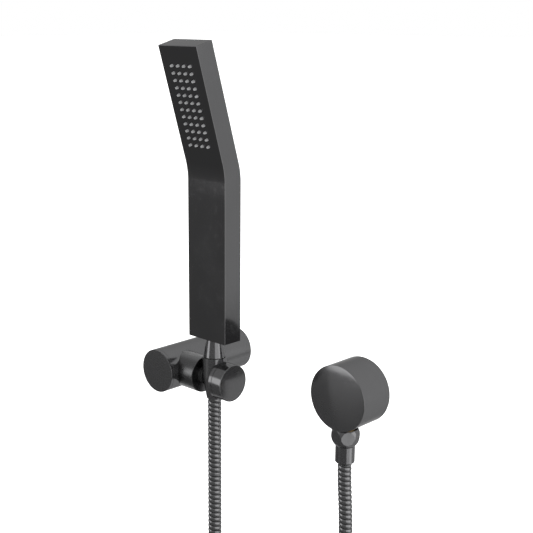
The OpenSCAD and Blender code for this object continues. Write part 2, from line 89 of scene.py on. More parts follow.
NECK_TOP_R = 7.8 * MM          # the cone's upper end
PIN_BORE_R = 7.02 * MM         # round the swivel in the cone, and round the tilt pin in the collar
SLEEVE_R = 11.6 * MM
SLEEVE_BORE_R = 9.9 * MM       # the sleeve's upper bore, where the liner sits
HOSE_BORE_R = 7.05 * MM        # the sleeve's lower bore, round the hose
HOSE_SLOT_W = 14.3 * MM        # the opening along the back of the sleeve
FLANGE_OUT = 9.3 * MM          # from the sleeve's axis to the flange beside the knob
FLANGE_T = 3.4 * MM
HUB_R = 9 * MM                 # the boss between the sleeve and the collar
HUB_T = 4.5 * MM
POST_WALL = 2.5 * MM
COVER_WALL = 3 * MM
COVER_DOME = 2 * MM            # rise of the cover's face at its middle
BALL_R = 13.7 * MM
BALL_FLATS_R = 12.1 * MM       # from the ball nut's axis to each of its six flats
BALL_DROP = 7.5 * MM           # from the cover's lowest line to the ball's centre
THREAD_HOLE_R = 9.35 * MM      # round the outlet's threaded end
FERRULE_R = 9.3 * MM
FERRULE_HEAD_R = 7 * MM        # the part held inside the ball nut


# ---------------------------------------------------------------- properties

def length(name, description, default):
    """A length in metres with the given default in millimetres."""
    return FloatProperty(name=name, description=description, default=default * MM, unit="LENGTH")


def angle(name, description, default):
    """An angle whose default is given in degrees."""
    return FloatProperty(name=name, description=description, default=math.radians(default), subtype="ANGLE")


def tint(name, description, grey):
    """A colour property whose default is a linear grey."""
    return FloatVectorProperty(name=name, description=description, default=(grey, grey, grey * 1.02),
                               size=3, subtype="COLOR", min=0, max=1)


class ShowerHandset(bpy.types.PropertyGroup):
    """Sizes of the bar handset."""
    handle_h: length("Handle height", "Height of the upright handle, up to the bend", 160)
    head_len: length("Head length", "Length of the head along its spray face", 118.8)
    head_tilt: angle("Head tilt", "Lean of the head towards the user", 17)
    top_rise: angle("Top rise", "Rise of the top face towards the wall", 15)
    bend_r: length("Bend radius", "Radius of the bend, front and back", 55)
    depth: length("Depth", "Thickness of the handset, measured level", 20.8)
    wall: length("Wall", "Wall of the shell", 2.2)
    cap_t: length("Cap thickness", "Thickness of the end cap", 2)
    edge_r: length("Edge radius", "Rounding of the long edges", 0.45)
    cols: IntProperty(name="Columns", description="Nozzles in one row", default=4)
    rows: IntProperty(name="Rows", description="Rows of nozzles", default=12)
    col_pitch: length("Column pitch", "Distance between columns", 7.7)
    row_pitch: length("Row pitch", "Distance between rows", 6.8)
    first_row: length("First row", "Distance from the top edge to the first row", 18.2)
    nozzle_r: length("Nozzle radius", "Radius of a nozzle at the face", 1.35)
    nozzle_out: length("Nozzle height", "How far a nozzle stands out", 2.2)


class ShowerHose(bpy.types.PropertyGroup):
    """Sizes of the metal hose."""
    diameter: length("Diameter", "Outer diameter", 13.4)
    rib_pitch: length("Rib pitch", "Distance between the turns of the metal strip", 4.8)
    rib_depth: length("Rib depth", "Depth of the groove between two turns", 1.3)
    sides: IntProperty(name="Sides", description="Faces round the hose", default=24)
    turns: FloatProperty(name="Turns", description="Turns in the stored coil", default=2.5)


class ShowerFinish(bpy.types.PropertyGroup):
    """Colours of the finishes."""
    chrome: tint("Dark chrome", "Reflectance of the plated metal", 0.135)
    shell: tint("Handset chrome", "Reflectance of the plated handset", 0.128)
    hose: tint("Hose strip", "Reflectance of the hose's metal strip", 0.165)
    silicone: tint("Silicone", "Colour of the nozzles", 0.3)
    rubber: tint("Rubber", "Colour of washers, gaskets and the tie", 0.03)


# ---------------------------------------------------------------- modelling helpers

def deselect():
    """Leaves nothing selected."""
    if bpy.context.object and bpy.context.object.mode != "OBJECT":
        bpy.ops.object.mode_set(mode="OBJECT")
    for obj in bpy.context.selected_objects:
        obj.select_set(False)


def activate(obj):
    """Selects only this object and makes it active."""
    deselect()
    obj.select_set(True)
    bpy.context.view_layer.objects.active = obj


def pick(obj, kind, test):
    """In edit mode, selects only the faces or edges for which test(middle, element) is true."""
    bpy.ops.mesh.select_mode(type="FACE" if kind == "faces" else "EDGE")
    bpy.ops.mesh.select_all(action="DESELECT")
    mesh = bmesh.from_edit_mesh(obj.data)
    for item in getattr(mesh, kind):
        middle = sum((v.co for v in item.verts), Vector()) / len(item.verts)
        if test(middle, item):
            item.select_set(True)
    mesh.select_flush_mode()
    bmesh.update_edit_mesh(obj.data)


def edit(obj):
    """Goes into edit mode with nothing selected."""
    activate(obj)
    bpy.ops.object.mode_set(mode="EDIT")
    bpy.ops.mesh.select_all(action="DESELECT")


def leave_edit():
    bpy.ops.object.mode_set(mode="OBJECT")


def modify(obj, kind, **settings):
    """Adds a modifier and applies it."""
    activate(obj)
    modifier = obj.modifiers.new(kind.title(), kind)
    for key, value in settings.items():
        setattr(modifier, key, value)
    bpy.ops.object.modifier_apply(modifier=modifier.name)


def soften(obj, width, segments=3, limit=30):
    """Rounds the edges sharper than the limit, and shades the piece smooth with flat faces kept flat."""
    if width:
        modify(obj, "BEVEL", width=width, segments=segments, limit_method="ANGLE",
               angle_limit=math.radians(limit), use_clamp_overlap=True)
    activate(obj)
    bpy.ops.object.shade_smooth_by_angle(angle=math.radians(40))
    modify(obj, "WEIGHTED_NORMAL", keep_sharp=True, weight=50)


def place(obj, matrix):
    """Puts a piece made at the origin into its place, and keeps the place in its mesh."""
    activate(obj)
    obj.matrix_world = matrix
    bpy.ops.object.transform_apply(location=True, rotation=True, scale=True)


def along_x(x):
    """From a piece made along +Z to one along +X on the tilt axis, starting at x."""
    return Matrix.Translation((x, TILT_AXIS.y, TILT_AXIS.z)) @ Matrix.Rotation(math.pi / 2, 4, "Y")


def along_y(x, y, z):
    """From a piece made along +Z to one along -Y, starting at y."""
    return Matrix.Translation((x, y, z)) @ Matrix.Rotation(math.pi / 2, 4, "X")


def upright(axis, z):
    return Matrix.Translation((axis.x, axis.y, z))


def turned(name, profile, closed=False, sides=128):
    """A turned piece about Z: a circle is extruded and scaled along the (radius, height) profile.
    A closed profile is a ring, joined end to end; an open one gets flat ends."""
    deselect()
    radius, height = profile[0]
    bpy.ops.mesh.primitive_circle_add(vertices=sides, radius=radius, fill_type="NOTHING", location=(0, 0, height))
    obj = bpy.context.object
    obj.name = name
    obj.data.name = name
    bpy.ops.object.transform_apply(location=True)
    bpy.ops.object.mode_set(mode="EDIT")
    bpy.ops.mesh.select_mode(type="EDGE")
    bpy.ops.mesh.select_all(action="SELECT")
    if not closed:
        bpy.ops.mesh.edge_face_add()
        pick(obj, "edges", lambda middle, edge: True)
    for (r0, h0), (r1, h1) in zip(profile, profile[1:]):
        bpy.ops.mesh.extrude_edges_move(TRANSFORM_OT_translate={"value": (0, 0, h1 - h0)})
        factor = r1 / r0
        bpy.ops.transform.resize(value=(factor, factor, 1), center_override=(0, 0, h1))
    if closed:
        first = profile[0]
        last = profile[-1]
        pick(obj, "edges", lambda middle, edge: all(
            min(abs(math.hypot(v.co.x, v.co.y) - p[0]) + abs(v.co.z - p[1]) for p in (first, last)) < 1e-6
            for v in edge.verts))
        bpy.ops.mesh.bridge_edge_loops()
    else:
        bpy.ops.mesh.edge_face_add()
    bpy.ops.mesh.select_all(action="SELECT")
    bpy.ops.mesh.remove_doubles(threshold=1e-7)
    bpy.ops.mesh.normals_make_consistent(inside=False)
    leave_edit()
    return obj


def cylinder(name, radius, low, high, sides=32):
    """A plain closed cylinder along Z, for cutting and as a start."""
    deselect()
    bpy.ops.mesh.primitive_cylinder_add(vertices=sides, radius=radius, depth=high - low,
                                        location=(0, 0, (low + high) / 2))
    obj = bpy.context.object
    obj.name = name
    bpy.ops.object.transform_apply(location=True)
    return obj


def copy_of(obj, name, matrix=None):
    """A copy with its own mesh, moved by the matrix."""
    twin = obj.copy()
    twin.data = obj.data.copy()
    twin.name = name
    bpy.context.scene.collection.objects.link(twin)
    if matrix is not None:
        twin.data.transform(matrix)
    return twin


def joined(objects, name):
    """Joins the objects into one piece."""
    deselect()
    for obj in objects:
        obj.select_set(True)
    bpy.context.view_layer.objects.active = objects[0]
    bpy.ops.object.join()
    obj = bpy.context.object
    obj.name = name
    obj.data.name = name
    return obj


def cut(obj, tool):
    """Takes the tool's volume out of the piece."""
    modify(obj, "BOOLEAN", object=tool, operation="DIFFERENCE", solver="EXACT")
    bpy.data.objects.remove(tool)


def finish_piece(obj, body, slot, material, *nodes):
    """Gives a finished piece its material and body, and hides the nodes that it stands for. The slot argument is
    not used.
    """
    obj.data.materials.clear()
    obj.data.materials.append(material)
    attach(obj, body)
    if nodes:
        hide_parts(*nodes)


# ---------------------------------------------------------------- material helpers

class Link:
    """A node's output socket, so that shader maths reads as Python."""

    def __init__(self, board, socket):
        self.board = board
        self.socket = socket

    def maths(self, operation, *others):
        return self.board.node("ShaderNodeMath", {"operation": operation}, *[self, *others])

    def __add__(self, other):
        return self.maths("ADD", other)

    def __mul__(self, other):
        return self.maths("MULTIPLY", other)

    def __sub__(self, other):
        return self.maths("SUBTRACT", other)

    def __rsub__(self, other):
        return self.board.node("ShaderNodeMath", {"operation": "SUBTRACT"}, other, self)

    def __gt__(self, other):
        return self.maths("GREATER_THAN", other)

    def __pow__(self, other):
        return self.maths("POWER", other)

    def step(self, low, high, start=0.0, end=1.0):
        """A smooth step from start to end as the value goes from low to high."""
        return self.board.node("ShaderNodeMapRange", {"interpolation_type": "SMOOTHSTEP"},
                               self, low, high, start, end)

    __radd__ = __add__
    __rmul__ = __mul__


class Board:
    """The node tree of a material or world, with one method that adds any node."""

    def __init__(self, tree):
        self.tree = tree
        tree.nodes.clear()

    def node(self, kind, settings=None, *inputs, out=0, **named):
        """Adds a node: settings first, then its sockets by place or by name. Returns the output out."""
        node = self.tree.nodes.new(kind)
        for key, value in (settings or {}).items():
            setattr(node, key, value)
        sockets = list(enumerate(inputs)) + [(key.replace("_", " "), value) for key, value in named.items()]
        for key, value in sockets:
            if isinstance(value, Link):
                self.tree.links.new(value.socket, node.inputs[key])
            elif value is not None:
                node.inputs[key].default_value = value
        return Link(self, node.outputs[out]) if node.outputs else node

    def mix(self, factor, first, second):
        """A colour between two, by factor."""
        node = self.tree.nodes.new("ShaderNodeMix")
        node.data_type = "RGBA"
        for index, value in ((0, factor), (6, first), (7, second)):
            if isinstance(value, Link):
                self.tree.links.new(value.socket, node.inputs[index])
            else:
                node.inputs[index].default_value = value
        return Link(self, node.outputs[2])

    def noise(self, scale, detail=2.0, where=None):
        where = where or self.node("ShaderNodeTexCoord", None, out="Object")
        return self.node("ShaderNodeTexNoise", None, Vector=where, Scale=scale, Detail=detail)


def rgba(colour, factor=1.0):
    return (colour[0] * factor, colour[1] * factor, colour[2] * factor, 1.0)


def new_material(name):
    material = bpy.data.materials.new(name)
    material.use_nodes = True
    return material, Board(material.node_tree)


def close_metal(board, metallic=0.92, **sockets):
    """Ends a plated or bare metal: a little light is scattered, and the rim isn't much brighter than the front."""
    close_material(board, Metallic=metallic, Specular_Tint=(0.5, 0.5, 0.5, 1.0), **sockets)


def close_material(board, **sockets):
    """Ends a material in one surface shader."""
    shader = board.node("ShaderNodeBsdfPrincipled", None, **sockets)
    board.node("ShaderNodeOutputMaterial", None, Surface=shader)


def plated(name, colour, low=0.07, high=0.16, ripple=0.02, metallic=0.92):
    """Dark polished plating: faint cloudy tone, dried water marks in the gloss and a slight ripple."""
    material, board = new_material(name)
    cloud = board.noise(22.0, 3.0)
    marks = board.noise(160.0, 4.0).step(0.5, 0.72)
    fine = board.noise(900.0, 2.0)
    base = board.mix(cloud, rgba(colour, 0.94), rgba(colour, 1.06))
    rough = cloud.step(0.3, 0.7, low, high) + marks * 0.05
    bump = board.node("ShaderNodeBump", None, Strength=ripple, Distance=0.0002, Height=fine + cloud)
    close_metal(board, metallic, Base_Color=base, Roughness=rough, Normal=bump)
    return material


def hose_strip(name, colour):
    """The hose's metal strip: crowns in its own colour with a cloudy tone, and rougher grooves that follow its
    turns, painted near-black as painted shade.
    """
    material, board = new_material(name)
    uv = board.node("ShaderNodeTexCoord", None, out="UV")
    turn = board.node("ShaderNodeSeparateXYZ", None, uv, out="Y")
    phase = turn.maths("FRACT")
    groove = (phase - 0.5).maths("ABSOLUTE").step(0.36, 0.47)
    cloud = board.noise(60.0, 3.0)
    crown = board.mix(cloud, rgba(colour, 0.85), rgba(colour, 1.1))
    # Painted shade: the grooves between the turns are painted almost black, where shade falls in the recesses.
    base = board.mix(groove, crown, rgba(colour, 0.12))
    rough = groove.step(0.0, 1.0, 0.17, 0.5) + cloud * 0.05
    close_metal(board, Base_Color=base, Roughness=rough)
    return material


def moulded(name, colour, rough=0.45, grain=1400.0, spread=0.06):
    """Moulded rubber, silicone or plastic: fine grain, slightly uneven colour."""
    material, board = new_material(name)
    cloud = board.noise(90.0, 3.0)
    fine = board.noise(grain, 2.0)
    base = board.mix(cloud, rgba(colour, 1 - spread), rgba(colour, 1 + spread))
    bump = board.node("ShaderNodeBump", None, Strength=0.15, Distance=0.0001, Height=fine)
    close_material(board, Base_Color=base, Roughness=cloud.step(0.2, 0.8, rough - 0.07, rough + 0.07), Normal=bump)
    return material


def machined(name, colour, rough=0.25):
    """Turned or rolled metal with fine tool lines."""
    material, board = new_material(name)
    where = board.node("ShaderNodeTexCoord", None, out="Object")
    stretched = board.node("ShaderNodeMapping", None, where, Scale=(1.0, 1.0, 14.0))
    lines = board.noise(300.0, 4.0, stretched)
    cloud = board.noise(40.0, 2.0)
    base = board.mix(cloud, rgba(colour, 0.88), rgba(colour, 1.05))
    bump = board.node("ShaderNodeBump", None, Strength=0.1, Distance=0.0001, Height=lines)
    close_material(board, Base_Color=base, Metallic=1.0, Roughness=lines.step(0.3, 0.7, rough - 0.06, rough + 0.08),
                   Normal=bump)
    return material


BRASS = (0.62, 0.43, 0.17)
STEEL = (0.55, 0.55, 0.57)
WHITE_PLASTIC = (0.75, 0.75, 0.72)
SLOT_MATERIALS = {}


def material_for(slot):
    """The finish of a record slot, made once."""
    if slot not in SLOT_MATERIALS:
        finish = bpy.context.scene.shower_finish
        makers = {
            "black_chrome": lambda: plated("Dark chrome", finish.chrome),
            "shell_gloss": lambda: plated("Handset chrome", finish.shell, 0.05, 0.12, metallic=1.0),
            "hose_metal": lambda: hose_strip("Hose strip", finish.hose),
            "silicone": lambda: moulded("Silicone", finish.silicone, 0.35),
            "rubber_black": lambda: moulded("Black rubber", finish.rubber, 0.6),
            "steel": lambda: machined("Steel", STEEL),
            "brass": lambda: machined("Brass", BRASS),
            "white_plastic": lambda: moulded("White plastic", WHITE_PLASTIC, 0.4),
        }
        SLOT_MATERIALS[slot] = makers[slot]()
    return SLOT_MATERIALS[slot]


# ---------------------------------------------------------------- the handset

class HandsetShape:
    """Places on the handset, worked out from its sizes."""

    def __init__(self, sizes):
        self.sizes = sizes
        self.low = SHELL_LOW.z
        self.bend_z = self.low + sizes.handle_h
        self.front = NECK_AXIS.y - sizes.depth / 2
        tilt = sizes.head_tilt
        self.up = Vector((0, -math.sin(tilt), math.cos(tilt)))
        self.inward = Vector((0, math.cos(tilt), math.sin(tilt)))
        self.bend = Vector((NECK_AXIS.x, self.front, self.bend_z))
        self.top = self.bend + self.up * sizes.head_len
        self.top_normal = Vector((0, -math.sin(sizes.top_rise), math.cos(sizes.top_rise)))

    def on_face(self, across, height):
        """A frame on the spray face: z out of it, at a place across and up the head."""
        spot = self.bend + Vector((across, 0, 0)) + self.up * height
        x = Vector((1, 0, 0))
        out = -self.inward
        y = out.cross(x)
        turn = Matrix((x, y, out)).transposed().to_4x4()
        return Matrix.Translation(spot) @ turn

    def nozzles(self):
        s = self.sizes
        for row in range(s.rows):
            for col in range(s.cols):
                yield self.on_face((col - (s.cols - 1) / 2) * s.col_pitch,
                                   s.head_len - s.first_row - row * s.row_pitch)


def bar(name, shape):
    """The handset's outside: a handle block, its top extruded along the head, cut level and rounded at the bend."""
    sizes = shape.sizes
    width = SHELL_HIGH.x - SHELL_LOW.x
    deselect()
    bpy.ops.mesh.primitive_cube_add(size=1, location=(NECK_AXIS.x, NECK_AXIS.y, shape.low + sizes.handle_h / 2),
                                    scale=(width, sizes.depth, sizes.handle_h))
    obj = bpy.context.object
    obj.name = name
    obj.data.name = name
    bpy.ops.object.transform_apply(location=True, rotation=True, scale=True)
    edit(obj)
    pick(obj, "faces", lambda middle, face: face.normal.z > 0.9)
    bpy.ops.mesh.extrude_region_move(TRANSFORM_OT_translate={"value": shape.up * (sizes.head_len + sizes.depth)})
    bpy.ops.mesh.select_all(action="SELECT")
    bpy.ops.mesh.bisect(plane_co=shape.top, plane_no=shape.top_normal, use_fill=True, clear_outer=True)
    pick(obj, "edges", lambda middle, edge: abs(middle.z - shape.bend_z) < 1e-5
         and abs(edge.verts[0].co.x - edge.verts[1].co.x) > width / 2)
    bpy.ops.mesh.bevel(offset=sizes.bend_r * math.tan(sizes.head_tilt / 2), segments=12, profile=0.5)
    leave_edit()
    return obj


class SHOWER_OT_handset(bpy.types.Operator):
    """Builds the bent bar shell, its end cap and the spray nozzles"""
    bl_idname = "shower.handset"
    bl_label = "Handset"

    def execute(self, context):
        sizes = context.scene.shower_handset
        shape = HandsetShape(sizes)
        shell = bar("handset_body", shape)
        modify(shell, "BEVEL", width=sizes.edge_r, segments=3, limit_method="ANGLE", angle_limit=math.radians(45))
        cap = copy_of(shell, "handset_end_cap")
        seam = shape.top - shape.top_normal * sizes.cap_t
        for piece, keep_top in ((shell, False), (cap, True)):
            edit(piece)
            bpy.ops.mesh.select_all(action="SELECT")
            bpy.ops.mesh.bisect(plane_co=seam, plane_no=shape.top_normal, use_fill=True,
                                clear_outer=not keep_top, clear_inner=keep_top)
            leave_edit()
        hole = cylinder("hole", sizes.nozzle_r + 0.15 * MM, -sizes.wall, 1 * MM, sides=20)
        holes = [copy_of(hole, "hole", spot) for spot in shape.nozzles()]
        bpy.data.objects.remove(hole)
        cut(shell, joined(holes, "holes"))
        for piece in (shell, cap):
            soften(piece, 0)
        finish_piece(shell, "handset", "shell_gloss", material_for("shell_gloss"), "handset_shell")
        finish_piece(cap, "handset", "shell_gloss", material_for("shell_gloss"), "end_cap")

        r, out = sizes.nozzle_r, sizes.nozzle_out
        bore = 0.45 * MM
        tip = r * 0.72
        nozzle = turned("nozzle", [(bore, out - 0.9 * MM), (bore, out - 0.08 * MM), (bore * 1.3, out),
                                   (tip * 0.72, out), (tip * 0.95, out - 0.12 * MM), (tip * 1.06, out - 0.4 * MM),
                                   (r, 0), (r, -sizes.wall)], sides=20)
        soften(nozzle, 0)
        nozzles = [copy_of(nozzle, "nozzle", spot) for spot in shape.nozzles()]
        bpy.data.objects.remove(nozzle)
        field = joined(nozzles, "spray_nozzles")
        finish_piece(field, "handset", "silicone", material_for("silicone"), "nozzle_mat")
        return {"FINISHED"}


# ---------------------------------------------------------------- holder, knob and post

class SHOWER_OT_holder(bpy.types.Operator):
    """Builds the cone under the handset, the slotted sleeve with its flange, and the knob"""
    bl_idname = "shower.holder"
    bl_label = "Holder and knob"

    def execute(self, context):
        chrome = material_for("black_chrome")
        low_r = (NECK_HIGH.x - NECK_LOW.x) / 2
        neck = turned("cone_neck", [(PIN_BORE_R, NECK_LOW.z), (low_r, NECK_LOW.z), (NECK_TOP_R, NECK_HIGH.z),
                                    (PIN_BORE_R, NECK_HIGH.z)], closed=True)
        place(neck, upright(NECK_AXIS, 0))
        soften(neck, 0.25 * MM)
        finish_piece(neck, "handset", "black_chrome", chrome, "neck_cone")

        low, high = SLEEVE_LOW.z, sleeve_top()
        steps = [(7.65, low / MM), (8.9, -13), (9.7, -8.5), (10.4, -4), (11.2, 0), (11.6, 4), (11.4, high / MM)]
        outside = [(r * MM, z * MM) for r, z in steps]
        inside = [(SLEEVE_BORE_R, high), (SLEEVE_BORE_R, 6 * MM), (HOSE_BORE_R, -13 * MM), (HOSE_BORE_R, low)]
        sleeve = turned("sleeve", outside + inside, closed=True)
        place(sleeve, upright(NECK_AXIS, 0))
        barrel_r = (KNOB_HIGH.z - KNOB_LOW.z) / 2
        flange_x = NECK_AXIS.x + FLANGE_OUT
        flange = turned("flange", [(barrel_r, 0), (barrel_r, FLANGE_T)])
        place(flange, along_x(flange_x))
        hub = turned("hub", [(HUB_R, 0), (HUB_R, HUB_T)], sides=64)
        place(hub, along_x(SLEEVE_LOW.x))
        core = cylinder("core", 9.85 * MM, -13 * MM, high + 1 * MM, sides=96)
        place(core, upright(NECK_AXIS, 0))
        for extra in (flange, hub):
            cutter = copy_of(core, "cutter")
            cut(extra, cutter)
        bpy.data.objects.remove(core)
        modify(sleeve, "BOOLEAN", object=flange, operation="UNION", solver="EXACT")
        modify(sleeve, "BOOLEAN", object=hub, operation="UNION", solver="EXACT")
        for extra in (flange, hub):
            bpy.data.objects.remove(extra)
        deselect()
        bpy.ops.mesh.primitive_cube_add(size=1, location=(NECK_AXIS.x, NECK_AXIS.y + SLEEVE_R, 0),
                                        scale=(HOSE_SLOT_W, 2 * SLEEVE_R, 80 * MM))
        slot = bpy.context.object
        bpy.ops.object.transform_apply(location=True, scale=True)
        cut(sleeve, slot)
        soften(sleeve, 0.2 * MM, segments=2, limit=40)
        finish_piece(sleeve, "holder", "black_chrome", chrome, "holder_sleeve")

        knob_len = KNOB_HIGH.x - KNOB_LOW.x
        knob = turned("round_knob", [(3.2 * MM, 0), (barrel_r, 0), (barrel_r, knob_len)])
        place(knob, along_x(KNOB_LOW.x))
        soften(knob, 0.5 * MM)
        finish_piece(knob, "knob", "black_chrome", chrome, "knob")
        return {"FINISHED"}


def sleeve_top():
    return NECK_LOW.z - 0.3 * MM


class SHOWER_OT_post(bpy.types.Operator):
    """Builds the wall post with its front disc, and the collar on its side"""
    bl_idname = "shower.post"
    bl_label = "Wall post"

    def execute(self, context):
        chrome = material_for("black_chrome")
        radius = (POST_HIGH.x - POST_LOW.x) / 2
        inner = radius - POST_WALL
        tube = turned("post_body", [(inner, 0), (radius, 0), (radius, -POST_LOW.y), (inner, -POST_LOW.y)],
                      closed=True, sides=160)
        place(tube, along_y(0, 0, 0))
        soften(tube, 0.12 * MM)
        finish_piece(tube, "wall_fittings", "black_chrome", chrome, "post_tube")
        disc_t = POST_LOW.y - DISC_LOW.y
        disc = turned("post_disc", [(inner, -4 * MM), (inner, 0), (radius, 0), (radius, disc_t)], sides=160)
        place(disc, along_y(0, POST_LOW.y, 0))
        soften(disc, 0.35 * MM)
        finish_piece(disc, "wall_fittings", "black_chrome", chrome, "post_cap")

        barrel_r = (COLLAR_HIGH.z - COLLAR_LOW.z) / 2
        start = radius - 12 * MM
        end = COLLAR_HIGH.x
        collar = turned("side_collar", [(PIN_BORE_R, start), (barrel_r, start), (barrel_r, end), (PIN_BORE_R, end)],
                        closed=True)
        place(collar, along_x(0))
        soften(collar, 0.5 * MM)
        drum = cylinder("drum", radius, -10 * MM, 140 * MM, sides=160)
        place(drum, along_y(0, 0, 0))
        cut(collar, drum)
        soften(collar, 0)
        satin = machined("Satin chrome", [c * 0.8 for c in context.scene.shower_finish.chrome], 0.3)
        finish_piece(collar, "wall_fittings", "black_chrome", satin, "cross_collar")
        return {"FINISHED"}


# ---------------------------------------------------------------- wall outlet

class SHOWER_OT_outlet(bpy.types.Operator):
    """Builds the domed wall outlet, its ball nut and the hose ferrule"""
    bl_idname = "shower.outlet"
    bl_label = "Wall outlet"

    def execute(self, context):
        chrome = material_for("black_chrome")
        radius = (COVER_HIGH.x - COVER_LOW.x) / 2
        back = -COVER_HIGH.y
        front = -COVER_LOW.y - COVER_DOME
        crown = (radius * radius + COVER_DOME * COVER_DOME) / (2 * COVER_DOME)
        steps = 14
        rim = [(radius, back), (radius, front)]
        cap = []
        for i in range(1, steps):
            r = radius * (1 - i / steps)
            cap.append((r, front + COVER_DOME - (crown - math.sqrt(crown * crown - r * r))))
        cover = turned("outlet_cover_shell", [(radius - COVER_WALL, back)] + rim + cap, sides=192)
        place(cover, along_y(OUTLET_AXIS.x, 0, OUTLET_AXIS.z))
        modify(cover, "BEVEL", width=0.3 * MM, segments=3, limit_method="ANGLE", angle_limit=math.radians(50))
        hollow = cylinder("hollow", radius - COVER_WALL, back - 5 * MM, front - COVER_WALL, sides=96)
        place(hollow, along_y(OUTLET_AXIS.x, 0, OUTLET_AXIS.z))
        cut(cover, hollow)
        hole = cylinder("hole", 9.7 * MM, -80 * MM, OUTLET_AXIS.z, sides=64)
        place(hole, upright(BALL_AXIS, 0))
        cut(cover, hole)
        soften(cover, 0)
        finish_piece(cover, "wall_fittings", "black_chrome", chrome, "outlet_cover")

        centre = Vector((BALL_AXIS.x, BALL_AXIS.y, COVER_LOW.z - BALL_DROP))
        deselect()
        bpy.ops.mesh.primitive_uv_sphere_add(segments=144, ring_count=96, radius=BALL_R, location=centre)
        ball = bpy.context.object
        ball.name = "ball_nut_body"
        bpy.ops.object.transform_apply(location=True)
        edit(ball)
        sides = [(Vector((math.cos(a), math.sin(a), 0)), BALL_FLATS_R)
                 for a in (math.radians(-10 + 30 + 60 * k) for k in range(6))]
        for normal, reach in sides + [(Vector((0, 0, 1)), BALL_HIGH.z - centre.z),
                                        (Vector((0, 0, -1)), centre.z - BALL_LOW.z)]:
            bpy.ops.mesh.select_all(action="SELECT")
            bpy.ops.mesh.bisect(plane_co=centre + normal * reach, plane_no=normal, use_fill=True, clear_outer=True)
        leave_edit()
        bore = cylinder("bore", THREAD_HOLE_R, -6 * MM, 40 * MM, sides=64)
        place(bore, upright(BALL_AXIS, BALL_AXIS.z))
        cut(ball, bore)
        lip = cylinder("lip", 7.1 * MM, -40 * MM, 40 * MM, sides=64)
        place(lip, upright(BALL_AXIS, BALL_AXIS.z))
        cut(ball, lip)
        soften(ball, 0.18 * MM, segments=2, limit=18)
        finish_piece(ball, "wall_fittings", "black_chrome", chrome, "ball_nut")

        low = FERRULE_LOW.z
        high = FERRULE_HIGH.z
        shoulder = BALL_LOW.z - 0.2 * MM
        ferrule = turned("hose_ferrule", [(3.5 * MM, low), (6.9 * MM, low), (FERRULE_R, low + 2.2 * MM),
                                          (FERRULE_R, shoulder), (FERRULE_HEAD_R, shoulder), (FERRULE_HEAD_R, high),
                                          (3.5 * MM, high)], closed=True, sides=96)
        place(ferrule, upright(BALL_AXIS, 0))
        soften(ferrule, 0.3 * MM)
        finish_piece(ferrule, "wall_fittings", "black_chrome", chrome, "outlet_ferrule")
        return {"FINISHED"}


# ---------------------------------------------------------------- hose

HANDSET_LEG = [(53.5, -84.7, -98), (53.5, -84.7, -112), (53.5, -84.7, -140), (53.5, -84.7, -180),
               (53.5, -84.7, -220), (53.5, -84.7, -255), (53.5, -84.7, -286)]
OUTLET_LEG = [(166.8, -24.4, -71.6), (166.8, -24.4, -80), (167.3, -24.4, -92), (168.2, -24.4, -105),
              (169.2, -24.4, -120), (170, -24.4, -140), (170.6, -24.4, -165), (171, -24.4, -195),
              (171, -24.4, -225), (171, -24.4, -255), (171, -24.4, -286)]
JOINT_Z = -98 * MM
UPPER_Z = -17 * MM


def metres(points):
    return [Vector(p) * MM for p in points]


def smooth_line(points, step):
    """A smooth line through the points, with a spot every step or so."""
    line = []
    ends = [points[0] * 2 - points[1]] + points + [points[-1] * 2 - points[-2]]
    for a, b, c, d in zip(ends, ends[1:], ends[2:], ends[3:]):
        count = max(1, round((c - b).length / step))
        for i in range(count):
            t = i / count
            line.append(0.5 * (2 * b + (c - a) * t + (2 * a - 5 * b + 4 * c - d) * t * t
                               + (3 * b - a - 3 * c + d) * t * t * t))
    return line + [points[-1]]


class CoilShape:
    """The stored coil, hung between the two hose stretches."""

    def __init__(self, hose):
        start, end = metres([HANDSET_LEG[-1], OUTLET_LEG[-1]])
        rise = hose.turns * (hose.diameter + 0.2 * MM)
        gap = (end - start).length
        self.middle = (start + end) / 2
        self.radius = math.sqrt(gap * gap - rise * rise) / 2
        self.rise = rise
        turn = math.atan2(end.y - start.y, end.x - start.x) - math.asin(rise / gap)
        self.across = Vector((math.cos(turn), math.sin(turn), 0))
        self.axis = Vector((-math.sin(turn), math.cos(turn), 0))
        self.turns = hose.turns

    def line(self, step):
        count = round(self.turns * 2 * math.pi * self.radius / step)
        spots = []
        for i in range(count + 1):
            done = i / count
            a = math.pi + 2 * math.pi * self.turns * done
            spots.append(self.middle + self.radius * (math.cos(a) * self.across + math.sin(a) * Vector((0, 0, 1)))
                         + self.axis * self.rise * (done - 0.5))
        return spots


def rib_height(phase):
    """Height of the strip's crown over one turn: a round band between narrow grooves."""
    side = abs((phase % 1.0) - 0.5) * 2
    return math.sqrt(max(0.0, 1 - side ** 2.2))


